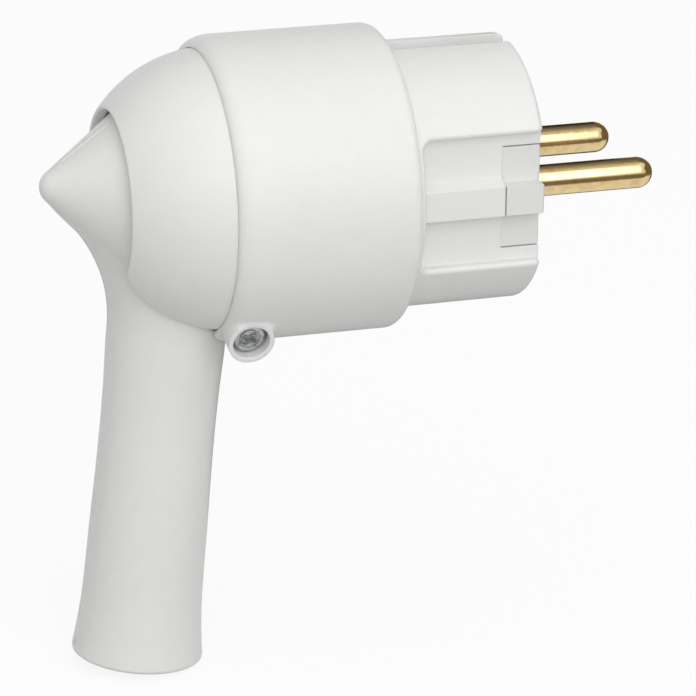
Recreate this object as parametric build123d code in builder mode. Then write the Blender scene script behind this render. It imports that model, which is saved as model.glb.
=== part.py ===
from build123d import *
import os
from math import acos, cos, degrees, radians, sin, sqrt

os.makedirs("parts", exist_ok=True)

# The origin is the centre of the pin face. +X runs out along the pins, +Z is up and the grip
# hangs down from the rear. All sizes are in millimetres and all angles in degrees.

# Fits between pieces
sliding_gap = 0.1
joint_line = 0.2
ball_gap = 0.4
neck_gap = 0.25
thread_gap = 0.02
seam_gap = 0.08

# Contact pins
pin_diameter = 4.8
pin_spacing = 19.0
pin_reach = 20.3
pin_root_diameter = 5.4
pin_collar_diameter = 7.5
pin_collar_thickness = 2.0
pin_tail_diameter = 6.0
pin_tail_length = 13.0
wire_hole_diameter = 3.2
wire_hole_depth = 9.0

# Pin carrier, the plate let into the front of the pin block
carrier_ledge = 1.35
carrier_thickness = 6.0
carrier_edge = 0.25
tab_height = 15.6

# Pin block
block_set_in = 2.9
block_reach = 20.4
block_draft = 0.1
block_edge_radius = 1.0
chamber_wall = 4.9
chamber_side_wall = 2.6
skirt_floor = 1.8
web_thickness = 2.2
pin_tail_room = 0.7
recess_height = 19.9
recess_length = 19.2
recess_corner = 1.7
recess_edge_radius = 0.6
rib_stand_share = 0.505
rib_height = 4.6
rib_root_height = 6.6
groove_width = 4.4
groove_depth = 2.8
collar_thickness = 2.0
collar_length = 5.0

# Outer sleeve
sleeve_diameter = 46.5
sleeve_wall = 1.65
sleeve_length = 28.2
sleeve_lip = 1.8
sleeve_front_radius = 1.5
shoulder_length = 3.5
shoulder_drop = 1.5

# Rear dome
dome_wall = 2.0
dome_center_depth = 2.6
dome_spigot_reach = 7.0
dome_opening_diameter = 26.4
dome_corner_radius = 6.0
dome_rim_radius = 0.35

# Grip
grip_tilt = 5.4
grip_wall = 2.4
nose_half_angle = 41.5
nose_tip_radius = 2.8
ball_front_reach = 7.5
handle_offset = 5.75
handle_length = 74.9
neck_diameter = 18.2
neck_depth = 22.75
neck_bend_radius = 23.5
neck_bend_angle = 44.0
waist_diameter = 17.8
waist_depth = 30.0
handle_diameter = 18.4
handle_flare_depth = 62.0
handle_end_diameter = 20.4
handle_edge_radius = 0.5
entry_diameter = 10.5
entry_length = 10.0
entry_mouth_radius = 0.8

# Boss and screw that hold the dome in the sleeve
boss_diameter = 7.1
boss_set_back = 3.6
boss_proud = 1.9
boss_slot_room = 5.84
boss_side_share = 0.1
boss_lean_angle = 32.5
boss_depth = 7.5
boss_root_radius = 1.0
boss_rim_radius = 0.25
counterbore_diameter = 5.6
dome_screw_diameter = 2.6
dome_screw_length = 3.2
dome_screw_head_diameter = 5.1
dome_screw_head_height = 1.2
dome_screw_head_set = 1.2

# Screws inside the plug
terminal_screw_diameter = 2.5
terminal_screw_length = 3.4
terminal_screw_head_diameter = 4.2
terminal_screw_head_height = 1.8
terminal_screw_lift = 0.4
terminal_screw_set_back = 6.0
carrier_screw_diameter = 2.4
carrier_screw_length = 6.0
carrier_screw_head_diameter = 4.4
carrier_screw_head_height = 1.6
carrier_screw_spacing = 14.0
carrier_screw_margin = 0.2
clamp_screw_diameter = 2.9
clamp_screw_length = 12.0
clamp_screw_head_diameter = 5.2
clamp_screw_head_height = 2.0
clamp_screw_spacing = 18.0
earth_screw_diameter = 3.5
earth_screw_length = 6.5
earth_screw_head_diameter = 6.0
earth_screw_head_height = 2.2
earth_screw_drop = 5.5

# Cross recess of every screw, as shares of its own head
cross_depth_share = 0.55
cross_arm_share = 0.2
cross_span_share = 0.64
head_round_share = 0.3

# Earth contact
earth_margin = 1.25
earth_bore = 5.0
earth_tube_diameter = 7.0
earth_face_hole = 5.6
earth_face_lip = 1.5
earth_slot_width = 0.8
earth_slot_length = 5.0
earth_tail = 1.4
spring_ring_diameter = 8.4
spring_ring_length = 2.5
spring_ring_set = 1.2
spring_ring_split = 1.6
strip_width = 4.0
strip_thickness = 0.8
strip_front_set = 1.5
strip_bend_radius = 0.7
strip_pad_diameter = 10.0
earth_washer_size = 7.0
earth_washer_thickness = 1.0

# Cord clamp
cord_diameter = 8.0
cord_trough_depth = 1.5
shelf_length = 9.0
shelf_set_back = 2.5
shelf_thickness = 5.0
shelf_drop = 7.0
clamp_width = 7.0
clamp_span = 25.0
clamp_thickness = 4.0
clamp_lift = 4.6
clamp_edge_radius = 1.0

# Places along the axis of the plug
sleeve_front = -block_reach
lip_back = sleeve_front - sleeve_lip
chamber_back = lip_back - skirt_floor
seam = sleeve_front - sleeve_length
ball_x = seam + dome_center_depth
skirt_end = seam + dome_spigot_reach
carrier_back = -carrier_thickness
web_back = carrier_back - web_thickness
strip_back = web_back - strip_thickness
washer_back = strip_back - earth_washer_thickness
tail_end = carrier_back - pin_tail_length
shelf_middle = chamber_back - shelf_set_back - shelf_length / 2

# Radii and widths worked out from the fits
sleeve_radius = sleeve_diameter / 2
block_radius = sleeve_radius - block_set_in
sleeve_bore = sleeve_radius - sleeve_wall
skirt_radius = sleeve_bore - sliding_gap
dome_radius = skirt_radius
dome_inner = dome_radius - dome_wall
ball_radius = dome_inner - ball_gap
chamber_radius = block_radius - chamber_wall
carrier_radius = chamber_radius + carrier_ledge
chamber_half_width = (pin_spacing + pin_tail_diameter) / 2 + pin_tail_room
recess_side = chamber_half_width + chamber_side_wall
rib_side = recess_side + rib_stand_share * (block_radius - recess_side)
groove_floor = block_radius - groove_depth
neck_slot = neck_diameter / 2 + neck_gap
seam_bore = sqrt(dome_radius**2 - dome_center_depth**2) + seam_gap

# The grip has its own plane through the centre of its ball: local x along the nose and local y
# up along the handle.
nose_direction = (-cos(radians(grip_tilt)), 0, sin(radians(grip_tilt)))
grip_plane = Plane(origin=(ball_x, 0, 0), x_dir=nose_direction, z_dir=(0, 1, 0))
nose_axis = Axis(grip_plane.origin, grip_plane.x_dir)
handle_axis = Axis(grip_plane.from_local_coords((handle_offset, 0, 0)), grip_plane.y_dir)
neck_center = grip_plane.from_local_coords((handle_offset, -neck_depth, 0))
neck_plane = Plane(neck_center, x_dir=grip_plane.x_dir, z_dir=grip_plane.y_dir)
bend_offset = handle_offset + neck_diameter / 2 + neck_bend_radius
bend_axis = Axis(grip_plane.from_local_coords((bend_offset, -neck_depth, 0)), grip_plane.z_dir)

# The boss stands on the near side, beside the slot for the neck, and looks a little down: it
# leans away from the sleeve's own outward direction at that place.
boss_reach = sleeve_radius + boss_proud
boss_room = sleeve_radius - neck_slot - boss_slot_room
boss_side = neck_slot + boss_slot_room + boss_side_share * boss_room
boss_drop = sqrt(boss_reach**2 - boss_side**2)
boss_tilt = degrees(acos(boss_side / boss_reach)) - boss_lean_angle
boss_normal = (0, -cos(radians(boss_tilt)), -sin(radians(boss_tilt)))
boss_center = (seam + boss_set_back, -boss_side, -boss_drop)
boss_face = Plane(origin=boss_center, x_dir=(1, 0, 0), z_dir=boss_normal)
dome_screw_seat_depth = dome_screw_head_set + dome_screw_head_height

# Places of the fasteners in the pin block, as Y and Z
pin_places = [(-pin_spacing / 2, 0), (pin_spacing / 2, 0)]
earth_height = chamber_radius - spring_ring_diameter / 2 - earth_margin
earth_place = (0, earth_height)
earth_screw_place = (0, -earth_screw_drop)
carrier_screw_reach = chamber_radius - carrier_screw_head_diameter / 2 - carrier_screw_margin
carrier_screw_drop = sqrt(carrier_screw_reach**2 - (carrier_screw_spacing / 2) ** 2)
carrier_screw_left_place = (-carrier_screw_spacing / 2, -carrier_screw_drop)
carrier_screw_right_place = (carrier_screw_spacing / 2, -carrier_screw_drop)
carrier_screw_places = [carrier_screw_left_place, carrier_screw_right_place]


def headed_screw(seat, diameter, length, head_diameter, head_height):
    """A round-headed screw with a cross recess. The seat is the plane under its head."""
    arm = head_diameter * cross_arm_share
    span = head_diameter * cross_span_share
    with BuildPart() as screw:
        with BuildSketch(seat):
            Circle(head_diameter / 2)
        extrude(amount=head_height)
        head_rim = screw.edges().sort_by(Axis(seat.origin, seat.z_dir))[-1]
        fillet(head_rim, head_height * head_round_share)
        with BuildSketch(seat.offset(head_height)):
            Rectangle(arm, span)
            Rectangle(span, arm)
        extrude(amount=-head_height * cross_depth_share, mode=Mode.SUBTRACT)
        with BuildSketch(seat):
            Circle(diameter / 2)
        extrude(amount=-length)
    return screw


def is_on_boss_side(edge):
    """True for an edge that runs round the outside of the boss."""
    middle = boss_face.to_local_coords(edge @ 0.5)
    return abs(sqrt(middle.X**2 + middle.Y**2) - boss_diameter / 2) < thread_gap


def ball_and_nose(radius, tip_radius):
    """Half outline of the ball with its nose, above the nose axis, in the grip's plane."""
    slope = radians(nose_half_angle)
    front_y = sqrt(radius**2 - ball_front_reach**2)
    touch = (radius * sin(slope), radius * cos(slope))
    tip_center = (radius - tip_radius) / sin(slope)
    tip_start = (tip_center + tip_radius * sin(slope), tip_radius * cos(slope))
    Line((-ball_front_reach, 0), (-ball_front_reach, front_y))
    ThreePointArc((-ball_front_reach, front_y), (0, radius), touch)
    Line(touch, tip_start)
    CenterArc((tip_center, 0), tip_radius, 90 - nose_half_angle, nose_half_angle - 90)
    Line((tip_center + tip_radius, 0), (-ball_front_reach, 0))


def contact_pin(place):
    """A turned brass pin: ball nose, root in the carrier, collar behind it, tail for the wire."""
    pin_y = place[0]
    pin_axis = Axis((0, pin_y, 0), (1, 0, 0))
    shank = pin_y + pin_diameter / 2
    root = pin_y + pin_root_diameter / 2
    collar = pin_y + pin_collar_diameter / 2
    tail = pin_y + pin_tail_diameter / 2
    collar_front = carrier_back + pin_collar_thickness
    nose_start = pin_reach - pin_diameter / 2
    with BuildPart() as pin:
        with BuildSketch(Plane.XY):
            with BuildLine():
                CenterArc((nose_start, pin_y), pin_diameter / 2, 0, 90)
                Polyline(
                    (nose_start, shank), (0, shank), (0, root),
                    (collar_front, root), (collar_front, collar), (carrier_back, collar),
                    (carrier_back, tail), (tail_end, tail), (tail_end, pin_y), (pin_reach, pin_y),
                )
            make_face()
        revolve(axis=pin_axis)
        with BuildSketch(Plane.YZ.offset(tail_end)):
            with Locations(place):
                Circle(wire_hole_diameter / 2)
        extrude(amount=wire_hole_depth, mode=Mode.SUBTRACT)
        with BuildSketch(Plane.XY):
            with Locations((tail_end + terminal_screw_set_back, pin_y)):
                Circle(terminal_screw_diameter / 2 + thread_gap)
        extrude(amount=pin_tail_diameter, mode=Mode.SUBTRACT)
    return pin


def terminal_screw(place):
    """The screw that holds a wire in the tail of a pin, from above."""
    seat_height = pin_tail_diameter / 2 + terminal_screw_lift
    seat = Plane((tail_end + terminal_screw_set_back, place[0], seat_height))
    return headed_screw(
        seat, terminal_screw_diameter, terminal_screw_length,
        terminal_screw_head_diameter, terminal_screw_head_height,
    )


def carrier_screw(place):
    """A screw from the terminal chamber through the web into the carrier."""
    seat = Plane((web_back, *place), x_dir=(0, 1, 0), z_dir=(-1, 0, 0))
    return headed_screw(
        seat, carrier_screw_diameter, carrier_screw_length,
        carrier_screw_head_diameter, carrier_screw_head_height,
    )


def clamp_screw(screw_y):
    """A screw through the clamp bar into the shelf."""
    seat = Plane((shelf_middle, screw_y, clamp_lift + clamp_thickness - shelf_drop))
    return headed_screw(
        seat, clamp_screw_diameter, clamp_screw_length,
        clamp_screw_head_diameter, clamp_screw_head_height,
    )


# Sleeve: a turned tube with a front lip, a rounded rear shoulder, a notch for the neck of the
# grip and the boss for the screw.
with BuildPart() as sleeve:
    lip_radius = block_radius + sliding_gap
    shoulder_end = sleeve_radius - shoulder_drop
    with BuildSketch(Plane.XZ):
        with BuildLine():
            Polyline(
                (seam, shoulder_end), (seam, seam_bore), (ball_x, sleeve_bore),
                (lip_back, sleeve_bore), (lip_back, lip_radius), (sleeve_front, lip_radius),
                (sleeve_front, sleeve_radius), (seam + shoulder_length, sleeve_radius),
            )
            EllipticalCenterArc(
                (seam + shoulder_length, shoulder_end), shoulder_length, shoulder_drop,
                start_angle=90, arc_size=90,
            )
        make_face()
    revolve(axis=Axis.X)
    front_rims = sleeve.edges().filter_by(GeomType.CIRCLE).group_by(Axis.X)[-1]
    fillet(front_rims.sort_by(SortBy.RADIUS)[-1], sleeve_front_radius)
    with BuildSketch(boss_face):
        Circle(boss_diameter / 2)
    extrude(amount=-boss_depth)
    with BuildSketch(Plane.XZ):
        with BuildLine():
            Polyline(
                (seam, 0), (seam, seam_bore), (ball_x, sleeve_bore),
                (lip_back, sleeve_bore), (lip_back, 0), close=True,
            )
        make_face()
    revolve(axis=Axis.X, mode=Mode.SUBTRACT)
    with BuildSketch(Plane.XY):
        with Locations((neck_center.X, 0)):
            Circle(neck_slot)
        with Locations((neck_center.X - sleeve_radius, 0)):
            Rectangle(2 * sleeve_radius, 2 * neck_slot)
    extrude(amount=-2 * sleeve_radius, mode=Mode.SUBTRACT)
    with BuildSketch(boss_face):
        Circle(counterbore_diameter / 2)
    extrude(amount=-dome_screw_seat_depth, mode=Mode.SUBTRACT)
    boss_front = sleeve.faces().filter_by(boss_face).sort_by(Axis(boss_center, boss_normal))[-1]
    fillet(boss_front.edges().sort_by(SortBy.LENGTH)[0], boss_rim_radius)
    with BuildSketch(boss_face):
        Circle(dome_screw_diameter / 2 + sliding_gap)
    extrude(amount=-boss_depth, mode=Mode.SUBTRACT)
    root_edges = sleeve.edges().filter_by(GeomType.BSPLINE).filter_by(is_on_boss_side)
    fillet(root_edges, boss_root_radius)

# Rear dome: a ball shell with a straight spigot that slides into the sleeve. Inside, it follows
# the ball of the grip and then runs straight along the top of the nose. The round rear opening
# and the slot for the neck run into each other through rounded corners.
with BuildPart() as rear_dome:
    nose_touch_angle = nose_half_angle - grip_tilt
    nose_meet_angle = nose_touch_angle + degrees(acos(dome_inner / dome_radius))
    with BuildSketch(Plane.XZ):
        with BuildLine():
            Line((skirt_end, dome_inner), (skirt_end, dome_radius))
            Line((skirt_end, dome_radius), (ball_x, dome_radius))
            outer = CenterArc((ball_x, 0), dome_radius, 90, nose_meet_angle)
            inner = CenterArc((ball_x, 0), dome_inner, 90, nose_touch_angle)
            Line(outer @ 1, inner @ 1)
            Line((ball_x, dome_inner), (skirt_end, dome_inner))
        make_face()
    revolve(axis=Axis.X)
    with BuildSketch(Plane.YZ.offset(skirt_end)):
        Circle(dome_opening_diameter / 2)
        with Locations((0, -dome_radius)):
            Rectangle(2 * neck_slot, 2 * dome_radius)
        slot_corners = vertices().filter_by_position(Axis.Y, -dome_opening_diameter / 2, 0)
        fillet(slot_corners, dome_corner_radius)
    extrude(amount=-dome_spigot_reach - 2 * dome_radius, mode=Mode.SUBTRACT)
    outer_ball = rear_dome.faces().filter_by(GeomType.SPHERE).sort_by(SortBy.AREA)[-1]
    fillet(outer_ball.edges().sort_by(Axis.X)[:-1], dome_rim_radius)
    with BuildSketch(boss_face):
        Circle(dome_screw_diameter / 2 + thread_gap)
    dome_screw_end = dome_screw_seat_depth + dome_screw_length
    extrude(amount=-dome_screw_end - sliding_gap, mode=Mode.SUBTRACT)

# Grip: the ball and its nose are turned about the nose, the handle about its own axis, and the
# neck is a pipe bend that sweeps the handle back under the nose. The cord runs inside.
with BuildPart() as grip:
    with BuildSketch(grip_plane):
        with BuildLine():
            ball_and_nose(ball_radius, nose_tip_radius)
        make_face()
    revolve(axis=nose_axis)
    neck_edge = handle_offset + neck_diameter / 2
    waist_edge = handle_offset + waist_diameter / 2
    handle_edge = handle_offset + handle_diameter / 2
    end_edge = handle_offset + handle_end_diameter / 2
    flare_tangent = (handle_edge - waist_edge, waist_depth - handle_flare_depth)
    with BuildSketch(grip_plane):
        with BuildLine():
            Polyline((handle_offset, 0), (neck_edge, 0), (neck_edge, -neck_depth))
            Spline(
                (neck_edge, -neck_depth), (waist_edge, -waist_depth), (handle_edge, -handle_flare_depth),
                tangents=((0, -1), flare_tangent),
            )
            TangentArc(
                (handle_edge, -handle_flare_depth), (end_edge, -handle_length), tangent=flare_tangent
            )
            Polyline((end_edge, -handle_length), (handle_offset, -handle_length), (handle_offset, 0))
        make_face()
    revolve(axis=handle_axis)
    fillet(grip.edges().sort_by(handle_axis)[0], handle_edge_radius)
    with BuildSketch(neck_plane):
        Circle(neck_diameter / 2)
    revolve(axis=bend_axis, revolution_arc=-neck_bend_angle)
    with BuildSketch(grip_plane):
        with BuildLine():
            ball_and_nose(ball_radius - grip_wall, nose_tip_radius / 2)
        make_face()
    revolve(axis=nose_axis, mode=Mode.SUBTRACT)
    with BuildSketch(neck_plane):
        Circle(neck_diameter / 2 - grip_wall)
    revolve(axis=bend_axis, revolution_arc=-neck_bend_angle, mode=Mode.SUBTRACT)
    bore_length = handle_length - neck_depth - entry_length
    with BuildSketch(neck_plane):
        Circle(waist_diameter / 2 - grip_wall)
    extrude(amount=-bore_length, mode=Mode.SUBTRACT)
    with BuildSketch(neck_plane):
        Circle(entry_diameter / 2)
    extrude(amount=-bore_length - entry_length, mode=Mode.SUBTRACT)
    foot = grip.faces().sort_by(handle_axis)[0]
    fillet(foot.inner_wires()[0].edges(), entry_mouth_radius)

# Pin block: the round body in front, the skirt inside the sleeve, the web that holds the pins
# and the shelf for the cord clamp.
with BuildPart() as pin_block:
    with BuildSketch(Plane.XZ):
        with BuildLine():
            Polyline(
                (0, 0), (0, block_radius - block_draft), (lip_back, block_radius),
                (lip_back, skirt_radius), (skirt_end, skirt_radius), (skirt_end, 0), (0, 0),
            )
        make_face()
    revolve(axis=Axis.X)
    fillet(pin_block.edges().filter_by(GeomType.CIRCLE).sort_by(Axis.X)[-1], block_edge_radius)
    for side in (Plane.XZ, -Plane.XZ):
        with BuildSketch(side.offset(recess_side)):
            Rectangle(2 * recess_length, recess_height)
            fillet(vertices().group_by(Axis.X)[0], recess_corner)
        extrude(amount=block_radius, mode=Mode.SUBTRACT)
    block_skin = pin_block.faces().filter_by(GeomType.CONE).sort_by(SortBy.AREA)[-1]
    skin_edges = block_skin.edges().filter_by(GeomType.BSPLINE)
    corner_start = 2 * recess_corner - recess_length
    fillet(skin_edges.filter_by_position(Axis.X, corner_start, 0), recess_edge_radius)
    with BuildSketch(Plane.YZ.offset(-recess_length)):
        with BuildLine():
            Polyline(
                (chamber_half_width, -rib_height / 2), (rib_side, -rib_height / 2),
                (rib_side, rib_height / 2),
                (recess_side, rib_root_height / 2), (chamber_half_width, rib_root_height / 2),
                close=True,
            )
        make_face()
        mirror(about=Plane.YZ)
    extrude(amount=recess_length + carrier_back - joint_line)
    collar_inner = dome_inner - collar_thickness
    collar_front = skirt_end + collar_length
    seat_mouth = (skirt_end, sqrt(dome_inner**2 - (skirt_end - ball_x) ** 2))
    seat_floor = (ball_x + sqrt(dome_inner**2 - collar_inner**2), collar_inner)
    with BuildSketch(Plane.XZ):
        with BuildLine():
            Line((skirt_end, 0), seat_mouth)
            RadiusArc(seat_mouth, seat_floor, dome_inner)
            Polyline(
                seat_floor, (collar_front, collar_inner), (collar_front, dome_inner),
                (chamber_back, dome_inner), (chamber_back, 0), (skirt_end, 0),
            )
        make_face()
    revolve(axis=Axis.X, mode=Mode.SUBTRACT)
    with BuildSketch(Plane.YZ.offset(chamber_back)):
        Circle(chamber_radius)
        Rectangle(2 * chamber_half_width, 2 * chamber_radius, mode=Mode.INTERSECT)
    extrude(amount=web_back - chamber_back, mode=Mode.SUBTRACT)
    with BuildSketch(Plane.YZ.offset(carrier_back)):
        Circle(carrier_radius + joint_line)
        Rectangle(2 * rib_side, tab_height + 2 * joint_line)
    extrude(amount=carrier_thickness, mode=Mode.SUBTRACT)
    with BuildSketch(Plane.YZ.offset(sleeve_front)):
        with Locations((0, block_radius), (0, -block_radius)):
            Rectangle(groove_width, 2 * groove_depth)
    extrude(amount=block_reach, mode=Mode.SUBTRACT)
    with BuildSketch(Plane.YZ.offset(chamber_back)):
        with Locations(*pin_places):
            Circle(pin_tail_diameter / 2 + sliding_gap)
        with Locations(earth_place):
            Circle(earth_tube_diameter / 2 + sliding_gap)
        with Locations(earth_screw_place):
            Circle(earth_screw_diameter / 2 + sliding_gap)
        with Locations(*carrier_screw_places):
            Circle(carrier_screw_diameter / 2 + sliding_gap)
    extrude(amount=-chamber_back, mode=Mode.SUBTRACT)
    with BuildSketch(Plane.YZ.offset(web_back)):
        Rectangle(strip_width + 2 * sliding_gap, 2 * block_radius)
    extrude(amount=-strip_thickness - sliding_gap, mode=Mode.SUBTRACT)
    with BuildSketch(Plane.YZ.offset(shelf_middle - shelf_length / 2)):
        with Locations((0, -shelf_drop - shelf_thickness / 2)):
            Rectangle(2 * skirt_radius, shelf_thickness)
        Circle(skirt_radius, mode=Mode.INTERSECT)
        with Locations((0, cord_diameter / 2 - shelf_drop - cord_trough_depth)):
            Circle(cord_diameter / 2, mode=Mode.SUBTRACT)
    extrude(amount=shelf_length)
    with BuildSketch(Plane.XY.offset(-shelf_drop)):
        with Locations((shelf_middle, 0)):
            with GridLocations(0, clamp_screw_spacing, 1, 2):
                Circle(clamp_screw_diameter / 2 + thread_gap)
    extrude(amount=-shelf_thickness, mode=Mode.SUBTRACT)

# Pin carrier: a plate with the pin holes, the earth hole and two side tabs that end flush with
# the recesses and carry on the ribs.
with BuildPart() as pin_carrier:
    with BuildSketch(Plane.YZ.offset(carrier_back)):
        Circle(carrier_radius)
        Rectangle(2 * recess_side, 2 * carrier_radius, mode=Mode.INTERSECT)
        Rectangle(2 * recess_side, tab_height)
        Rectangle(2 * rib_side, rib_height)
    extrude(amount=carrier_thickness)
    chamfer(pin_carrier.faces().sort_by(Axis.X)[-1].edges(), carrier_edge)
    with BuildSketch(Plane.YZ):
        with Locations(*pin_places):
            Circle(pin_root_diameter / 2 + sliding_gap)
        with Locations(earth_place):
            Circle(earth_face_hole / 2)
    extrude(amount=-carrier_thickness, mode=Mode.SUBTRACT)
    with BuildSketch(Plane.YZ.offset(carrier_back)):
        with Locations(*pin_places):
            Circle(pin_collar_diameter / 2 + sliding_gap)
    extrude(amount=pin_collar_thickness, mode=Mode.SUBTRACT)
    with BuildSketch(Plane.YZ.offset(carrier_back)):
        with Locations(earth_place):
            Circle(earth_tube_diameter / 2 + sliding_gap)
    extrude(amount=carrier_thickness - earth_face_lip, mode=Mode.SUBTRACT)
    with BuildSketch(Plane.YZ.offset(carrier_back)):
        with Locations(earth_place):
            Circle(spring_ring_diameter / 2 + sliding_gap)
    ring_pocket = carrier_thickness - earth_face_lip - spring_ring_set + sliding_gap
    extrude(amount=ring_pocket, mode=Mode.SUBTRACT)
    with BuildSketch(Plane.YZ.offset(carrier_back)):
        with Locations(*carrier_screw_places):
            Circle(carrier_screw_diameter / 2 + thread_gap)
    extrude(amount=carrier_screw_length - web_thickness, mode=Mode.SUBTRACT)
    with BuildSketch(Plane.YZ.offset(carrier_back)):
        with Locations(earth_screw_place):
            Circle(earth_screw_diameter / 2 + sliding_gap)
    extrude(amount=earth_screw_length + washer_back - carrier_back, mode=Mode.SUBTRACT)

# Contact pins and their terminal screws, near side first
live_pin = contact_pin(pin_places[0])
neutral_pin = contact_pin(pin_places[1])
live_terminal_screw = terminal_screw(pin_places[0])
neutral_terminal_screw = terminal_screw(pin_places[1])

# Earth socket: a tube behind the earth hole, slotted at its mouth so that it can grip
with BuildPart() as earth_socket:
    tube_front = -earth_face_lip
    tube_length = tube_front - strip_back + earth_tail
    with BuildSketch(Plane.YZ.offset(tube_front)):
        with Locations(earth_place):
            Circle(earth_tube_diameter / 2)
            Circle(earth_bore / 2, mode=Mode.SUBTRACT)
    extrude(amount=-tube_length)
    with BuildSketch(Plane.YZ.offset(tube_front)):
        with Locations(earth_place):
            Rectangle(earth_slot_width, 2 * earth_tube_diameter)
    extrude(amount=-earth_slot_length, mode=Mode.SUBTRACT)

# Spring ring round the slotted mouth of the earth socket
with BuildPart() as earth_spring_ring:
    with BuildSketch(Plane.YZ.offset(-earth_face_lip - spring_ring_set)):
        with Locations(earth_place):
            Circle(spring_ring_diameter / 2)
            Circle(earth_tube_diameter / 2 + thread_gap, mode=Mode.SUBTRACT)
        with Locations((spring_ring_diameter / 2, earth_height)):
            Rectangle(spring_ring_diameter, spring_ring_split, mode=Mode.SUBTRACT)
    extrude(amount=-spring_ring_length)

# Earth strip: one bent strip against the web, with a leg in the top groove and one in the
# bottom groove, an eye for the earth socket and a tapped eye for the earth screw.
with BuildPart() as earth_strip:
    leg_length = -strip_front_set - strip_back
    with BuildSketch(Plane.XZ):
        with Locations((strip_back + leg_length / 2, 0)):
            Rectangle(leg_length, 2 * (groove_floor + strip_thickness))
        fillet(vertices().group_by(Axis.X)[0], strip_bend_radius)
        with Locations((web_back + leg_length / 2, 0)):
            Rectangle(leg_length, 2 * groove_floor, mode=Mode.SUBTRACT)
    extrude(amount=strip_width / 2, both=True)
    with BuildSketch(Plane.YZ.offset(web_back)):
        with Locations(earth_place, earth_screw_place):
            Circle(strip_pad_diameter / 2)
    extrude(amount=-strip_thickness)
    with BuildSketch(Plane.YZ.offset(web_back)):
        with Locations(earth_place):
            Circle(earth_tube_diameter / 2 + thread_gap)
        with Locations(earth_screw_place):
            Circle(earth_screw_diameter / 2 + thread_gap)
    extrude(amount=-strip_thickness, mode=Mode.SUBTRACT)

# Square washer and screw that hold the earth wire on the strip
with BuildPart() as earth_wire_washer:
    with BuildSketch(Plane.YZ.offset(washer_back)):
        with Locations(earth_screw_place):
            Rectangle(earth_washer_size, earth_washer_size)
            Circle(earth_screw_diameter / 2 + sliding_gap, mode=Mode.SUBTRACT)
    extrude(amount=earth_washer_thickness)

earth_screw_seat = Plane((washer_back, *earth_screw_place), x_dir=(0, 1, 0), z_dir=(-1, 0, 0))
earth_terminal_screw = headed_screw(
    earth_screw_seat, earth_screw_diameter, earth_screw_length,
    earth_screw_head_diameter, earth_screw_head_height,
)

# Screws that pull the carrier against the web
carrier_screw_left = carrier_screw(carrier_screw_left_place)
carrier_screw_right = carrier_screw(carrier_screw_right_place)

# Cord clamp: a bar over the shelf, with a trough for the cord on its underside
with BuildPart() as cord_clamp:
    bar_bottom = clamp_lift - shelf_drop
    with BuildSketch(Plane.YZ.offset(shelf_middle - clamp_width / 2)):
        with Locations((0, bar_bottom + clamp_thickness / 2)):
            Rectangle(clamp_span, clamp_thickness)
        fillet(vertices().group_by(Axis.Y)[-1], clamp_edge_radius)
        with Locations((0, bar_bottom + cord_trough_depth - cord_diameter / 2)):
            Circle(cord_diameter / 2, mode=Mode.SUBTRACT)
    extrude(amount=clamp_width)
    with BuildSketch(Plane.XY.offset(bar_bottom)):
        with Locations((shelf_middle, 0)):
            with GridLocations(0, clamp_screw_spacing, 1, 2):
                Circle(clamp_screw_diameter / 2 + sliding_gap)
    extrude(amount=clamp_thickness, mode=Mode.SUBTRACT)

cord_clamp_screw_left = clamp_screw(-clamp_screw_spacing / 2)
cord_clamp_screw_right = clamp_screw(clamp_screw_spacing / 2)

# Screw in the boss, through the sleeve into the spigot of the dome
dome_screw = headed_screw(
    boss_face.offset(-dome_screw_seat_depth), dome_screw_diameter, dome_screw_length,
    dome_screw_head_diameter, dome_screw_head_height,
)

pieces = {
    "sleeve": sleeve,
    "rear_dome": rear_dome,
    "grip": grip,
    "pin_block": pin_block,
    "pin_carrier": pin_carrier,
    "live_pin": live_pin,
    "neutral_pin": neutral_pin,
    "live_terminal_screw": live_terminal_screw,
    "neutral_terminal_screw": neutral_terminal_screw,
    "earth_socket": earth_socket,
    "earth_spring_ring": earth_spring_ring,
    "earth_strip": earth_strip,
    "earth_wire_washer": earth_wire_washer,
    "earth_terminal_screw": earth_terminal_screw,
    "carrier_screw_left": carrier_screw_left,
    "carrier_screw_right": carrier_screw_right,
    "cord_clamp": cord_clamp,
    "cord_clamp_screw_left": cord_clamp_screw_left,
    "cord_clamp_screw_right": cord_clamp_screw_right,
    "dome_screw": dome_screw,
}
for name, piece in pieces.items():
    piece.part.label = name
    export_step(piece.part, f"parts/{name}.step")
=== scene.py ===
# %% [markdown]
# # Angled plug, a lesson in dressing a CAD part
# The plug is a white moulded body with two brass pins in front and an angled grip behind. The
# CAD solids already hold every shape in metres, so Blender's work here is the finish: plastic
# and metal that read as the real thing from any side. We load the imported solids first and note
# the box they fill, because nothing we add may grow past it.

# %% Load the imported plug
import math

import bmesh
import bpy
from mathutils import Matrix, Vector


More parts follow.
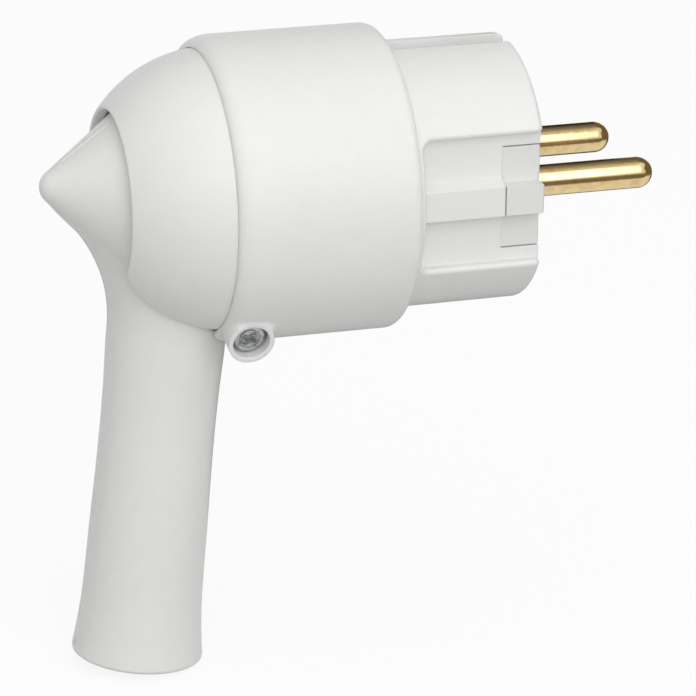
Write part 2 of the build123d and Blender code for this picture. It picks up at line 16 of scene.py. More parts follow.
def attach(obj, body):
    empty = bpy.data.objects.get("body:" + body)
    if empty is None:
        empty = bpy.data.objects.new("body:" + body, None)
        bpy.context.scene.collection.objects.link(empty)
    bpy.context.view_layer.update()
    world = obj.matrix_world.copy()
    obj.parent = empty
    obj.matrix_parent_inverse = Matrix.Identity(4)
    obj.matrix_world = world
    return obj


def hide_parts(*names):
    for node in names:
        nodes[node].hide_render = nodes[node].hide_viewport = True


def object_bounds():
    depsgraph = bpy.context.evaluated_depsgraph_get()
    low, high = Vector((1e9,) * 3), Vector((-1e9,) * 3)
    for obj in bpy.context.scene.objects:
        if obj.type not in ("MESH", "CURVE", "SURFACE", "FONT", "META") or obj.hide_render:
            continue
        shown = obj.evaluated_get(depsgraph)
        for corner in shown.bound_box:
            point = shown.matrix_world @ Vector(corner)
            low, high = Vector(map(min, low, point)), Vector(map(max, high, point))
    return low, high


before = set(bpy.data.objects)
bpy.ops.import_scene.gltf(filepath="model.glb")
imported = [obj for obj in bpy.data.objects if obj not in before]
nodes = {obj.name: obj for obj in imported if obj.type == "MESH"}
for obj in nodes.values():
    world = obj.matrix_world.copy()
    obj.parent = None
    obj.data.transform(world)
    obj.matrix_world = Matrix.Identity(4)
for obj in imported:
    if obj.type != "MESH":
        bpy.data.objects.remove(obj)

scene = bpy.context.scene
cad_low, cad_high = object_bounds()
print("nodes", len(nodes), "box", [round(v, 4) for v in (*cad_low, *cad_high)])

# %% [markdown]
# ## The camera
# A product photograph of a small object is taken from well back with a long lens, so that its
# edges stay almost parallel. We could turn the camera by Euler angles and nudge it until it
# fits, but it is clearer to write what a photographer would note: where the camera stands, how
# far round the plug and how high it looks from, and how much it leans. Its axes follow.

# %% Place the camera
def direction(azimuth, elevation):
    """Unit vector from the plug towards a place round it, in degrees."""
    turn, rise = math.radians(azimuth), math.radians(elevation)
    return Vector((
        math.sin(turn) * math.cos(rise),
        -math.cos(turn) * math.cos(rise),
        math.sin(rise),
    ))


camera_place = Vector((-0.22813, -0.64296, 0.21317))
camera_back = direction(azimuth=-17.539, elevation=19.648)
camera_roll = math.radians(0.578)
level_right = Vector((0, 0, 1)).cross(camera_back).normalized()
level_up = camera_back.cross(level_right)
camera_right = math.cos(camera_roll) * level_right + math.sin(camera_roll) * level_up
camera_up = camera_back.cross(camera_right)

lens = bpy.data.cameras.new("plug_camera")
lens.sensor_fit = "HORIZONTAL"
lens.sensor_width = 36.0
lens.lens = 240.9
lens.clip_start, lens.clip_end = 0.01, 20.0
camera = bpy.data.objects.new("plug_camera", lens)
axes = Matrix((camera_right, camera_up, camera_back)).transposed()
camera.matrix_world = Matrix.Translation(camera_place) @ axes.to_4x4()
scene.collection.objects.link(camera)
scene.camera = camera
print("camera", [round(v, 4) for v in camera.location])

# %% [markdown]
# ## Node helpers
# Every finish below is a small graph of shader nodes. Placing nodes one call at a time is long
# to read, so one helper makes a node, sets its options and fills its sockets. A socket given
# another socket is linked to it, and a socket given a number or colour keeps that value. The
# nodes that come back most often, for sums, ranges and colours, get a helper each.

# %% Helpers for shader graphs
def add(tree, kind, sockets=None, **options):
    """One node in a tree, with its options set and its input sockets filled."""
    made = tree.nodes.new(kind)
    for key, value in options.items():
        setattr(made, key, value)
    for key, value in (sockets or {}).items():
        if isinstance(value, bpy.types.NodeSocket):
            tree.links.new(value, made.inputs[key])
        else:
            made.inputs[key].default_value = value
    return made


def calculated(tree, operation, first, second):
    """The result of a Math node."""
    return add(tree, "ShaderNodeMath", {0: first, 1: second}, operation=operation).outputs[0]


def remapped(tree, value, low, high, start=0.0, end=1.0):
    """The result of a Map Range node: low becomes start and high becomes end."""
    return add(tree, "ShaderNodeMapRange", {
        "Value": value, "From Min": low, "From Max": high, "To Min": start, "To Max": end,
    }).outputs[0]


def mixed(tree, share, first, second):
    """The result of a Mix node, whose sockets for colour are 6 and 7 going in and 2 going out."""
    colours = {0: share, 6: first, 7: second}
    return add(tree, "ShaderNodeMix", colours, data_type="RGBA").outputs[2]


def new_material(name):
    """A material whose node tree is empty. Returns it and the tree."""
    made = bpy.data.materials.new(name)
    made.use_nodes = True
    made.node_tree.nodes.clear()
    return made, made.node_tree


def paint(red, green, blue):
    """A colour as a picture editor shows it, 0 to 255, as Blender's linear colour."""
    shares = [value / 255 for value in (red, green, blue)]
    linear = [s / 12.92 if s <= 0.04045 else ((s + 0.055) / 1.055) ** 2.4 for s in shares]
    return (*linear, 1.0)


white = paint(255, 255, 255)
scene.view_settings.view_transform = "Standard"
print("white in linear light", white)

# %% [markdown]
# ## The floor
# The plug is shown on plain white. A white sheet under soft light renders a little grey, and
# more light would bleach the plug too, so the sheet itself gives most of its white to the
# camera and to mirrors through the Light Path node. A part of it stays an ordinary lit surface,
# which keeps the plug's shadow. To light that bounces the sheet is grey, so that the plug's
# underside stays in shade. Seen from below it is clear.

# %% Make the floor
floor_half = 3.0
floor_mesh = bpy.data.meshes.new("floor")
sheet = bmesh.new()
bmesh.ops.create_grid(sheet, x_segments=1, y_segments=1, size=floor_half)
bmesh.ops.translate(sheet, verts=sheet.verts, vec=(0, 0, cad_low.z))
sheet.to_mesh(floor_mesh)
sheet.free()
floor = bpy.data.objects.new("floor", floor_mesh)
scene.collection.objects.link(floor)
print("floor at", round(cad_low.z, 4))


# %% Give the floor its paper
def seen_directly(tree):
    """1 for rays from the camera, a mirror or clear plastic, and 0 for light that bounces."""
    path = add(tree, "ShaderNodeLightPath").outputs
    mirrored = calculated(tree, "MAXIMUM", path["Is Glossy Ray"], path["Is Transmission Ray"])
    return calculated(tree, "MAXIMUM", path["Is Camera Ray"], mirrored)


floor_white_share = 0.88
paper_to_bounces = paint(182, 182, 182)
paper_to_camera = paint(250, 250, 250)
paper, tree = new_material("floor_paper")
seen = seen_directly(tree)
lit = add(tree, "ShaderNodeBsdfDiffuse", {
    "Color": mixed(tree, seen, paper_to_bounces, paper_to_camera),
})
glow = add(tree, "ShaderNodeEmission", {"Color": white, "Strength": 1.0})
sheet_mix = add(tree, "ShaderNodeMixShader", {
    0: calculated(tree, "MULTIPLY", seen, floor_white_share),
    1: lit.outputs[0], 2: glow.outputs[0],
})
clear = add(tree, "ShaderNodeBsdfTransparent")
below = add(tree, "ShaderNodeNewGeometry").outputs["Backfacing"]
whole = add(tree, "ShaderNodeMixShader", {
    0: below, 1: sheet_mix.outputs[0], 2: clear.outputs[0],
})
add(tree, "ShaderNodeOutputMaterial", {"Surface": whole.outputs[0]})
floor_mesh.materials.append(paper)
print("paper", len(tree.nodes), "nodes")

# %% [markdown]
# ## Studio light
# The light is that of a white tent. The world gives its even part, and three soft boxes give
# the plug its shape: one in front and above, one almost overhead, and a low, wide one that
# fills the shade on the underside. The low one would lie on the metal as a hard white patch,
# so it is hidden from reflections. The levels are set so that the white plastic comes out about
# as the colour written for it, and does not clip.

# %% Light the tent
tent_level = 0.61
tent = bpy.data.worlds.new("tent")
scene.world = tent
tent.use_nodes = True
tree = tent.node_tree
tree.nodes.clear()
even = add(tree, "ShaderNodeBackground", {"Color": white, "Strength": tent_level})
backdrop = add(tree, "ShaderNodeBackground", {"Color": white, "Strength": 1.0})
tent_mix = add(tree, "ShaderNodeMixShader", {
    0: seen_directly(tree), 1: even.outputs[0], 2: backdrop.outputs[0],
})
add(tree, "ShaderNodeOutputWorld", {"Surface": tent_mix.outputs[0]})

plug_middle = (cad_low + cad_high) / 2


def soft_box(name, azimuth, elevation, distance, size, power):
    """A square lamp that faces the plug."""
    lamp = bpy.data.lights.new(name, "AREA")
    lamp.shape = "SQUARE"
    lamp.size = size
    lamp.energy = power
    made = bpy.data.objects.new(name, lamp)
    towards = direction(azimuth, elevation)
    made.location = plug_middle + towards * distance
    made.rotation_mode = "QUATERNION"
    made.rotation_quaternion = towards.to_track_quat("Z", "Y")
    scene.collection.objects.link(made)
    return made


soft_box("front_box", azimuth=6, elevation=36, distance=1.0, size=0.6, power=1.7)
soft_box("top_box", azimuth=-20, elevation=68, distance=1.0, size=0.8, power=1.6)
fill_box = soft_box("fill_box", azimuth=-4, elevation=4, distance=1.0, size=0.9, power=3.8)
fill_box.visible_glossy = False
print("tent level", tent_level, "boxes", [lamp.name for lamp in bpy.data.lights])

# %% [markdown]
# ## Cards for the metal
# Polished brass in an all-white tent looks like pale plastic. Photographers stand cards round
# it: a bright one gives the clear highlight along the pins, and brown ones give the dark edges
# that draw their roundness. The cards are hidden from the camera and from bouncing light, so
# only reflections see them.

# %% Set up the cards
def only_in_reflections(made):
    """Hide a card from the camera and from bouncing light, and let it cast no shadow."""
    made.visible_camera = False
    made.visible_diffuse = False
    made.visible_shadow = False


def card(name, center, width, height, facing, shade, strength):
    """A flat card of one shade that only reflections see."""
    made_of, tree = new_material(name)
    glow = add(tree, "ShaderNodeEmission", {"Color": shade, "Strength": strength})
    add(tree, "ShaderNodeOutputMaterial", {"Surface": glow.outputs[0]})
    mesh = bpy.data.meshes.new(name)
    mesh.materials.append(made_of)
    flat = bmesh.new()
    bmesh.ops.create_grid(flat, x_segments=1, y_segments=1, size=1 / 2)
    bmesh.ops.scale(flat, verts=flat.verts, vec=(width, height, 1))
    turn = Vector(facing).to_track_quat("Z", "Y").to_matrix()
    bmesh.ops.rotate(flat, verts=flat.verts, cent=(0, 0, 0), matrix=turn)
    bmesh.ops.translate(flat, verts=flat.verts, vec=center)
    flat.to_mesh(mesh)
    flat.free()
    made = bpy.data.objects.new(name, mesh)
    only_in_reflections(made)
    scene.collection.objects.link(made)


brown = paint(132, 122, 104)
card("card_above", center=(0.02, 0.55, 0.42), width=1.4, height=1.1,
     facing=(0, -0.35, -1), shade=brown, strength=0.8)
card("card_in_front", center=(0.02, -0.145, -0.031), width=0.9, height=0.087,
     facing=(0, 1, 0), shade=brown, strength=1.0)
card("card_at_right", center=(0.25, 0.05, 0.06), width=0.5, height=0.27,
     facing=(-1, 0, 0), shade=brown, strength=0.8)
card("card_behind", center=(0.10, 0.2, -0.073), width=0.3, height=0.32,
     facing=(0, 0, 1), shade=brown, strength=0.6)
pin_card_distance = 0.12
pin_card_foot = Vector((0.047, 0, 0))
pin_card_out = direction(azimuth=0, elevation=38.5)
card("card_on_pins", center=pin_card_foot + pin_card_out * pin_card_distance, width=0.024,
     height=0.109, facing=-pin_card_out, shade=white, strength=3.2)

# %% [markdown]
# Above their highlight the pins darken step by step up to an almost black top edge. A flat card
# has one shade, so this one is bent over the pins, and its glow falls with the angle round
# them. The angle is worked out in the card's shader from the place on it, and a power makes the
# fall quick at first. A short edge spun about the pins' direction makes the bent card.

# %% Shade the ramp card
ramp_start = math.radians(64)
ramp_fall = 2.4
ramp_tint = paint(250, 243, 234)
ramp_glow, tree = new_material("card_over_pins")
spot = add(tree, "ShaderNodeSeparateXYZ", {
    "Vector": add(tree, "ShaderNodeTexCoord").outputs["Object"],
}).outputs
ahead = calculated(tree, "MULTIPLY", spot["Y"], -1.0)
angle = calculated(tree, "ARCTAN2", spot["Z"], ahead)
left_over = remapped(tree, angle, ramp_start, math.pi, start=1.0, end=0.0)
glow = add(tree, "ShaderNodeEmission", {
    "Color": ramp_tint, "Strength": calculated(tree, "POWER", left_over, ramp_fall),
})
add(tree, "ShaderNodeOutputMaterial", {"Surface": glow.outputs[0]})
print("ramp", len(tree.nodes), "nodes")

# %% Bend the ramp card over the pins
ramp_sides = (0.03, 0.062)
ramp_steps = 24
ramp_mesh = bpy.data.meshes.new("card_over_pins")
ramp_mesh.materials.append(ramp_glow)
bent = bmesh.new()
start_place = direction(0, math.degrees(ramp_start)) * pin_card_distance
ends = [bent.verts.new((aside, start_place.y, start_place.z)) for aside in ramp_sides]
first_edge = bent.edges.new(ends)
bmesh.ops.spin(
    bent, geom=[*ends, first_edge], cent=(0, 0, 0), axis=(-1, 0, 0),
    angle=math.pi - ramp_start, steps=ramp_steps,
)
bent.to_mesh(ramp_mesh)
bent.free()
ramp_card = bpy.data.objects.new("card_over_pins", ramp_mesh)
only_in_reflections(ramp_card)
scene.collection.objects.link(ramp_card)
print("ramp card", len(ramp_mesh.polygons), "faces")

# %% [markdown]
# ## Moulded skin
# The white pieces are moulded in steel tools whose walls are finely eroded. The plastic copies
# that as a grain too fine to model, a fifth of a millimetre across, and its colour and gloss
# drift a little from place to place where it cooled at another rate. Several pieces share
# this, so it is one node group: it gives a drifting colour, a drifting roughness and the
# grain's height, and each material hands it its own two colours.

# %% Node group for moulded plastic
def new_group(name, inputs, outputs):
    """An empty shader group with named sockets. Returns the tree and its two end nodes."""
    tree = bpy.data.node_groups.new(name, "ShaderNodeTree")
    for label, kind, value in inputs:
        socket = tree.interface.new_socket(label, in_out="INPUT", socket_type=kind)
        socket.default_value = value
    for label, kind in outputs:
        tree.interface.new_socket(label, in_out="OUTPUT", socket_type=kind)
    return tree, add(tree, "NodeGroupInput"), add(tree, "NodeGroupOutput")


def noise(tree, place, scale, detail, roughness=0.5, twist=0.0):
    """The grey value of a Noise Texture."""
    return add(tree, "ShaderNodeTexNoise", {
        "Vector": place, "Scale": scale, "Detail": detail,
        "Roughness": roughness, "Distortion": twist,
    }).outputs["Fac"]


number, colour = "NodeSocketFloat", "NodeSocketColor"
moulded_skin, given, result = new_group(
    "moulded_skin",
    [
        ("Pale", colour, (0.8, 0.8, 0.8, 1)),
        ("Deep", colour, (0.7, 0.7, 0.7, 1)),
        ("Satin", number, 0.4),
        ("Dull", number, 0.5),
    ],
    [("Colour", colour), ("Roughness", number), ("Grain", number)],
)
tree, skin_in = moulded_skin, given.outputs
place = add(tree, "ShaderNodeTexCoord").outputs["Object"]
drift = noise(tree, place, scale=55.0, detail=3.0)
flow = noise(tree, place, scale=420.0, detail=4.0, twist=0.6)
deepness = remapped(tree, calculated(tree, "MULTIPLY", drift, flow), low=0.05, high=0.55)
tint = mixed(tree, deepness, skin_in["Pale"], skin_in["Deep"])
gloss = remapped(tree, flow, low=0.3, high=0.7, start=skin_in["Satin"], end=skin_in["Dull"])
cells = add(tree, "ShaderNodeTexVoronoi", {"Vector": place, "Scale": 3600.0}, feature="SMOOTH_F1")
pits = noise(tree, place, scale=7000.0, detail=2.0)
grain = calculated(tree, "ADD", cells.outputs["Distance"], pits)
tree.links.new(tint, result.inputs["Colour"])
tree.links.new(gloss, result.inputs["Roughness"])
tree.links.new(grain, result.inputs["Grain"])
print("group", moulded_skin.name, len(tree.nodes), "nodes")

# %% [markdown]
# ## Soft edges
# No moulded or turned edge is truly sharp: a tenth or two of a millimetre of rounding catches
# the light. We could bevel every edge in the mesh, but the solids are fixed and the rounding is
# tiny, so the Bevel node rounds only the shading. Where its normal leaves the true one there
# is an edge, and that difference is the mask both for the polish of handling, which lowers the
# roughness, and for a painted highlight, which makes the edge's colour paler.

# %% Node group for edges
mm = 0.001
edge_begins, edge_full = 0.995, 0.86
soft_edges, given, result = new_group(
    "soft_edges",
    [("Radius", number, 0.2 * mm)],
    [("Normal", "NodeSocketVector"), ("Edge", number)],
)
tree = soft_edges
rounded = add(tree, "ShaderNodeBevel", {"Radius": given.outputs["Radius"]}, samples=6).outputs[0]
true_normal = add(tree, "ShaderNodeNewGeometry").outputs["Normal"]
match = add(tree, "ShaderNodeVectorMath", {0: rounded, 1: true_normal}, operation="DOT_PRODUCT")
edge = remapped(tree, match.outputs["Value"], low=edge_begins, high=edge_full)
tree.links.new(rounded, result.inputs["Normal"])
tree.links.new(edge, result.inputs["Edge"])
print("group", soft_edges.name, len(tree.nodes), "nodes")

# %% [markdown]
# ## The white plastics
# Sleeve, dome, grip, pin block and carrier are all white, but they come from different tools
# and batches, so each is a shade apart: the grip a little deeper and glossier, the carrier
# greyer, and the hidden clamp yellower. One function builds such a material from the two
# groups. The Principled shader stays in the material itself, with its constant values on its
# own sockets.

# %% Build the plastic materials
plastic_edge = 0.22 * mm
edge_polish = -0.12
grain_strength = 0.18


def moulded_plastic(name, pale, deep, satin, dull, painted_edge_highlight, grain_depth):
    """A white moulded plastic with drifting colour, fine grain and soft, polished edges whose
    colour is paler as a painted highlight.
    """
    made, tree = new_material(name)
    skin = add(tree, "ShaderNodeGroup", node_tree=moulded_skin, sockets={
        "Pale": pale, "Deep": deep, "Satin": satin, "Dull": dull,
    }).outputs
    edges = add(tree, "ShaderNodeGroup", {"Radius": plastic_edge}, node_tree=soft_edges).outputs
    polished = calculated(tree, "MULTIPLY", edges["Edge"], edge_polish)
    bump = add(tree, "ShaderNodeBump", {
        "Strength": grain_strength, "Distance": grain_depth,
        "Height": skin["Grain"], "Normal": edges["Normal"],
    })
    shader = add(tree, "ShaderNodeBsdfPrincipled", {
        # Towards the edges the base colour is mixed to a paler one: a painted highlight along
        # each edge.
        "Base Color": mixed(tree, edges["Edge"], skin["Colour"], painted_edge_highlight),
        "Roughness": calculated(tree, "ADD", skin["Roughness"], polished),
        "Normal": bump.outputs[0], "IOR": 1.5, "Specular IOR Level": 0.42,
    })
    add(tree, "ShaderNodeOutputMaterial", {"Surface": shader.outputs[0]})
    return made


# The paler edge colour in each look is a painted highlight along the edges.
plastic_looks = {
    "sleeve_plastic": dict(
        pale=paint(236, 236, 235), deep=paint(231, 231, 229), painted_edge_highlight=paint(247, 247, 246),
        satin=0.40, dull=0.50, grain_depth=4e-6),
    "dome_plastic": dict(
        pale=paint(235, 235, 234), deep=paint(230, 230, 228), painted_edge_highlight=paint(247, 247, 246),
        satin=0.40, dull=0.50, grain_depth=4e-6),
    "grip_plastic": dict(
        pale=paint(233, 233, 231), deep=paint(228, 228, 225), painted_edge_highlight=paint(240, 240, 238),
        satin=0.36, dull=0.46, grain_depth=5e-6),
    "block_plastic": dict(
        pale=paint(235, 235, 234), deep=paint(230, 230, 228), painted_edge_highlight=paint(242, 242, 241),
        satin=0.38, dull=0.48, grain_depth=4e-6),
    "carrier_plastic": dict(
        pale=paint(229, 229, 227), deep=paint(223, 223, 220), painted_edge_highlight=paint(238, 238, 236),
        satin=0.42, dull=0.52, grain_depth=4e-6),
    "clamp_plastic": dict(
        pale=paint(222, 222, 216), deep=paint(213, 213, 206), painted_edge_highlight=paint(230, 230, 225),
        satin=0.45, dull=0.55, grain_depth=6e-6),
}
plastics = {name: moulded_plastic(name, **look) for name, look in plastic_looks.items()}
print("plastics", sorted(plastics))

# %% [markdown]
# ## Turned metal
# The pins are turned from drawn brass rod and polished. Close up they keep two directions of
# marks: fine rings round the axis from the lathe and longer streaks along it from drawing and
# from being pushed into sockets. Noise stretched along one axis gives both. The screws share
# the group, with a colder colour and stronger blotches from their zinc plating.

# %% Node group for turned metal
turned_metal, given, result = new_group(
    "turned_metal",
    [
        ("Bright", colour, (0.8, 0.6, 0.4, 1)),
        ("Tarnish", colour, (0.5, 0.4, 0.2, 1)),
        ("Tarnish Share", number, 0.3),
        ("Polish", number, 0.15),
        ("Worn", number, 0.3),
    ],
    [("Colour", colour), ("Roughness", number), ("Marks", number)],
)
tree, metal_in = turned_metal, given.outputs
ring_stretch = (5200.0, 40.0, 40.0)
streak_stretch = (90.0, 2600.0, 2600.0)
place = add(tree, "ShaderNodeTexCoord").outputs["Object"]
ring_place = add(tree, "ShaderNodeMapping", {"Vector": place, "Scale": ring_stretch})
rings = noise(tree, ring_place.outputs[0], scale=1.0, detail=3.0)
streak_place = add(tree, "ShaderNodeMapping", {"Vector": place, "Scale": streak_stretch})
streaks = noise(tree, streak_place.outputs[0], scale=1.0, detail=4.0)
blotch = noise(tree, place, scale=650.0, detail=5.0, roughness=0.6)
dim = remapped(tree, blotch, low=0.42, high=0.72)
dimmed = calculated(tree, "MULTIPLY", dim, metal_in["Tarnish Share"])
tint = mixed(tree, dimmed, metal_in["Bright"], metal_in["Tarnish"])
gloss = remapped(
    tree, streaks, low=0.35, high=0.72, start=metal_in["Polish"], end=metal_in["Worn"])
marks = calculated(tree, "ADD", rings, streaks)
tree.links.new(tint, result.inputs["Colour"])
tree.links.new(gloss, result.inputs["Roughness"])
tree.links.new(marks, result.inputs["Marks"])
print("group", turned_metal.name, len(tree.nodes), "nodes")

# %% [markdown]
# ## Brass, nickel, steel and zinc
# Brass is yellow all through its reflection, so its colour is the Principled base colour of a
# full metal. The pins are the most polished, the contacts inside are plain stamped brass, the
# earth strip is nickel-plated, and the screws are zinc-plated steel, greyer and blotchier.

# %% Build the metal materials
metal_edge = 0.12 * mm
mark_strength = 0.25


def bare_metal(name, bright, tarnish, tarnish_share, polish, worn, mark_depth):
    """A full metal with turned marks, tarnish and soft edges."""
    made, tree = new_material(name)
    turned = add(tree, "ShaderNodeGroup", node_tree=turned_metal, sockets={
        "Bright": bright, "Tarnish": tarnish, "Tarnish Share": tarnish_share,
        "Polish": polish, "Worn": worn,
    }).outputs
    edges = add(tree, "ShaderNodeGroup", {"Radius": metal_edge}, node_tree=soft_edges).outputs
    bump = add(tree, "ShaderNodeBump", {
        "Strength": mark_strength, "Distance": mark_depth,
        "Height": turned["Marks"], "Normal": edges["Normal"],
    })
    shader = add(tree, "ShaderNodeBsdfPrincipled", {
        "Base Color": turned["Colour"], "Roughness": turned["Roughness"],
        "Normal": bump.outputs[0], "Metallic": 1.0,
    })
    add(tree, "ShaderNodeOutputMaterial", {"Surface": shader.outputs[0]})
    return made


metal_looks = {
    "pin_brass": dict(
        bright=paint(226, 202, 152), tarnish=paint(176, 142, 88), tarnish_share=0.4,
        polish=0.13, worn=0.24, mark_depth=2e-6),
    "contact_brass": dict(
        bright=paint(214, 184, 128), tarnish=paint(150, 116, 66), tarnish_share=0.6,
        polish=0.22, worn=0.4, mark_depth=5e-6),
    "strip_nickel": dict(
        bright=paint(205, 204, 199), tarnish=paint(150, 148, 142), tarnish_share=0.5,
        polish=0.25, worn=0.42, mark_depth=5e-6),
    "spring_steel": dict(
        bright=paint(196, 198, 201), tarnish=paint(140, 142, 146), tarnish_share=0.5,
        polish=0.22, worn=0.4, mark_depth=5e-6),
    "screw_steel": dict(
        bright=paint(190, 193, 193), tarnish=paint(82, 86, 88), tarnish_share=0.9,
        polish=0.2, worn=0.42, mark_depth=8e-6),
}
metals = {name: bare_metal(name, **look) for name, look in metal_looks.items()}
print("metals", sorted(metals))

# %% [markdown]
# ## Dress the CAD pieces
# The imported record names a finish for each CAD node, and the list below repeats it. A node that
# is not on the list is a screw. The material goes in the object's own slots, because the mesh
# is the CAD's and stays as it is.

# %% Give every node its finish
finishes = {**plastics, **metals}
slot_of = {
    "sleeve": "sleeve_plastic",
    "rear_dome": "dome_plastic",
    "grip": "grip_plastic",
    "pin_block": "block_plastic",
    "pin_carrier": "carrier_plastic",
    "live_pin": "pin_brass",
    "neutral_pin": "pin_brass",
    "earth_socket": "contact_brass",
    "earth_strip": "strip_nickel",
    "earth_wire_washer": "contact_brass",
    "earth_spring_ring": "spring_steel",
    "cord_clamp": "clamp_plastic",
}
for name, node in nodes.items():
    finish = finishes[slot_of.get(name, "screw_steel")]
    for material_slot in node.material_slots:
        material_slot.link = "OBJECT"
        material_slot.material = finish
print("dressed", len(nodes), "nodes")

# %% [markdown]
# ## The line where the mould closes
# The grip is moulded in two halves that meet in its middle plane, and the plastic keeps a hair
# line there, which shows along the top of the nose. We could fake it with a bump, but a ridge
# catches light from every side. The grip's own mesh already has the right outline: a copy is
# cut by two planes to a narrow band, by a third down its middle and by a fourth above the foot,
# and only the faces that look to the rear are kept.

# %% Cut the band for the parting line
merge_reach = 1e-6
cut_reach = 1e-8
line_half_width = 0.22 * mm
line_from, line_to = 13.2 * mm, 26.3 * mm
line_foot = -73.6 * mm
facing_rear = 0.1
nose_lift = math.radians(5.4)
along_nose = Vector((-math.cos(nose_lift), 0, math.sin(nose_lift)))
up_grip = Vector((math.sin(nose_lift), 0, math.cos(nose_lift)))
ball_center = Vector((-46.0 * mm, 0, 0))


def cut(bm, place, facing, drop):
    """Cut a mesh by a plane, and drop the part on the side it faces if asked."""
    bmesh.ops.bisect_plane(
        bm, geom=[*bm.verts, *bm.edges, *bm.faces], dist=cut_reach,
        plane_co=place, plane_no=facing, clear_outer=drop,
    )


def reach_along_nose(place):
    """How far to the rear of the grip's ball centre a place lies."""
    return (place - ball_center).dot(along_nose)


band = bmesh.new()
band.from_mesh(nodes["grip"].data)
bmesh.ops.remove_doubles(band, verts=band.verts, dist=merge_reach)
cut(band, (0, line_half_width, 0), (0, 1, 0), drop=True)
cut(band, (0, -line_half_width, 0), (0, -1, 0), drop=True)
cut(band, (0, 0, 0), (0, 1, 0), drop=False)
cut(band, ball_center + up_grip * line_foot, -up_grip, drop=True)
band.normal_update()
spare = [
    face for face in band.faces
    if face.normal.dot(along_nose) < facing_rear
    or not line_from < reach_along_nose(face.calc_center_median()) < line_to
]
bmesh.ops.delete(band, geom=spare, context="FACES")
band.normal_update()
print("band", len(band.faces), "faces")

# %% [markdown]
# The band still lies in the grip's skin. Its middle vertices are lifted a tenth of a millimetre
# and the outer ones sink just under the skin, so that a ridge stands out. It fades out towards
# the nose's tip. The normals are set right before Solidify gives the ridge a wall, which closes
# it into a mesh of its own.

# %% Raise the parting line
line_height = 0.13 * mm
line_sink = 0.03 * mm
line_wall = 0.1 * mm
line_fade = 2.0 * mm


def line_rise(v):
    """How far a vertex of the band is moved off the skin."""
    faded = min(max((line_to - reach_along_nose(v.co)) / line_fade, 0), 1)
    share = faded if abs(v.co.y) < merge_reach else 0
    return share * (line_height + line_sink) - line_sink


lifts = [(v, v.normal * line_rise(v)) for v in band.verts]
for v, lift in lifts:
    v.co += lift
bmesh.ops.recalc_face_normals(band, faces=band.faces)
bmesh.ops.solidify(band, geom=band.faces, thickness=line_wall)
line_mesh = bpy.data.meshes.new("grip_parting_line")
band.to_mesh(line_mesh)
band.free()
line_mesh.materials.append(plastics["grip_plastic"])
parting_line = bpy.data.objects.new("grip_parting_line", line_mesh)
scene.collection.objects.link(parting_line)
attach(parting_line, "root")
print("parting line", len(line_mesh.polygons), "faces")

# %% [markdown]
# ## The dome screw
# The screw in the boss is the one fastener that shows. Its pan head has a ring pressed into it
# round a cross recess, and the recess walls lean inwards, as the driver's tip does. The round
# parts come from a short outline spun about the axis, and a bevel rounds the rim.

# %% Spin the screw's round parts
head_top = -1.2 * mm
head_seat = -2.4 * mm
head_radius = 2.55 * mm
head_round = 0.35 * mm
ring_outer = 1.7 * mm
ring_inner = 1.5 * mm
ring_floor = head_top - 0.16 * mm
shank_radius = 1.3 * mm
shank_end = -5.6 * mm
point_length = 0.7 * mm
round_steps = 48

screw = bmesh.new()
outline = [
    (0, shank_end), (shank_radius - point_length, shank_end),
    (shank_radius, shank_end + point_length), (shank_radius, head_seat),
    (head_radius, head_seat), (head_radius, head_top), (ring_outer, head_top),
    (ring_outer, ring_floor), (ring_inner, ring_floor), (ring_inner, head_top),
]
corners = [screw.verts.new((radius, 0, height)) for radius, height in outline]
chain = [screw.edges.new(pair) for pair in zip(corners, corners[1:])]
bmesh.ops.spin(
    screw, geom=[*corners, *chain], cent=(0, 0, 0), axis=(0, 0, 1), angle=math.tau,
    steps=round_steps, use_merge=True,
)
bmesh.ops.remove_doubles(screw, verts=screw.verts, dist=merge_reach)


def ring_edges(radius, height):
    """The screw's edges that lie on one circle round its axis."""
    return [
        edge for edge in screw.edges
        if all(abs(v.co.z - height) < merge_reach for v in edge.verts)
        and all(abs(v.co.xy.length - radius) < merge_reach for v in edge.verts)
    ]


bmesh.ops.bevel(
    screw, geom=ring_edges(head_radius, head_top), offset=head_round, offset_type="OFFSET",
    affect="EDGES", segments=4, profile=0.5, material=-1,
)
print("screw", len(screw.faces), "faces before the cross")

# %% [markdown]
# The cross starts as a square grid. Its lines are drawn together in the middle third, which
# becomes the width of the arms, and the four corner blocks are dropped. The outline that is
# left has as many edges as the ring round it, so that bridging the two gives clean faces.
# Extruding the cross, drawing it in and pushing it down makes the leaning walls and the floor.
# The faces it started from stay behind as a lid, so they are deleted.

# %% Press the cross into the head
cross_reach = 1.25 * mm
cross_half = 0.36 * mm
cross_depth = 0.85 * mm
cross_narrow = 0.66
cross_cells = round_steps // 4
third = 1 / 3


def arm_line(share):
    """Where a line of the plain grid, from -1 to 1, lies in the cross."""
    inside = min(abs(share), third) / third
    outside = max(abs(share) - third, 0) / (1 - third)
    return math.copysign(cross_half * inside + (cross_reach - cross_half) * outside, share)


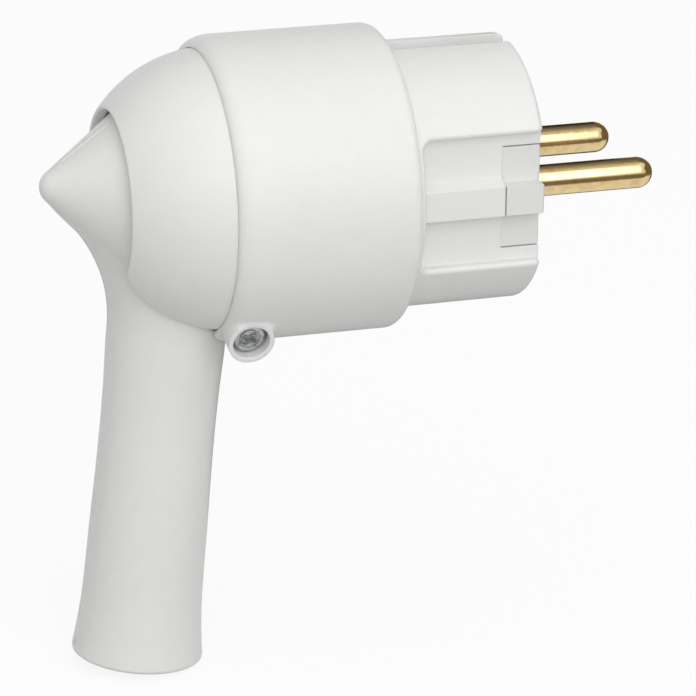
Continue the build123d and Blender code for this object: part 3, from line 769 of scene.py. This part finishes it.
plan = bmesh.ops.create_grid(
    screw, x_segments=cross_cells, y_segments=cross_cells, size=1.0)["verts"]
for v in plan:
    v.co = (arm_line(v.co.x), arm_line(v.co.y), head_top)
plan_faces = list(dict.fromkeys(face for v in plan for face in v.link_faces))
corner_faces = [
    face for face in plan_faces
    if min(map(abs, face.calc_center_median().xy)) > cross_half
]
cross_faces = [face for face in plan_faces if face not in corner_faces]
bmesh.ops.delete(screw, geom=corner_faces, context="FACES")
cross_rim = list(dict.fromkeys(
    edge for face in cross_faces for edge in face.edges if edge.is_boundary
))
pressed = bmesh.ops.extrude_face_region(screw, geom=cross_faces)["geom"]
floor_verts = [part for part in pressed if isinstance(part, bmesh.types.BMVert)]
bmesh.ops.scale(screw, verts=floor_verts, vec=(cross_narrow, cross_narrow, 1))
bmesh.ops.translate(screw, verts=floor_verts, vec=(0, 0, -cross_depth))
lid = [face for face in cross_faces if face.is_valid]
bmesh.ops.delete(screw, geom=lid, context="FACES")
bmesh.ops.bridge_loops(screw, edges=ring_edges(ring_inner, head_top) + cross_rim)
bmesh.ops.recalc_face_normals(screw, faces=screw.faces)
open_edges = sum(edge.is_boundary for edge in screw.edges)
print("cross rim", len(cross_rim), "edges, open edges", open_edges)

# %% [markdown]
# The screw is still upright at the origin. One matrix turns its axis into the boss's and sets
# it there, and then it takes the place of the CAD's plainer screw.

# %% Set the screw in the boss
boss_face = Vector((-45.0, -15.996, -19.407)) * mm
boss_out = direction(azimuth=0, elevation=-18)
driven_turn = Matrix.Rotation(math.radians(58), 4, "Z")
sharp_angle = math.radians(35)
upright_to_boss = boss_out.to_track_quat("Z", "Y").to_matrix().to_4x4()
into_boss = Matrix.Translation(boss_face) @ upright_to_boss
bmesh.ops.transform(screw, matrix=into_boss @ driven_turn, verts=screw.verts)
screw_mesh = bpy.data.meshes.new("dome_screw_detailed")
screw.to_mesh(screw_mesh)
screw.free()
screw_mesh.materials.append(metals["screw_steel"])
screw_mesh.shade_smooth()
screw_mesh.set_sharp_from_angle(angle=sharp_angle)
dome_screw = bpy.data.objects.new("dome_screw_detailed", screw_mesh)
scene.collection.objects.link(dome_screw)
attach(dome_screw, "root")
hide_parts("dome_screw")
print("dome screw", len(screw_mesh.polygons), "faces")
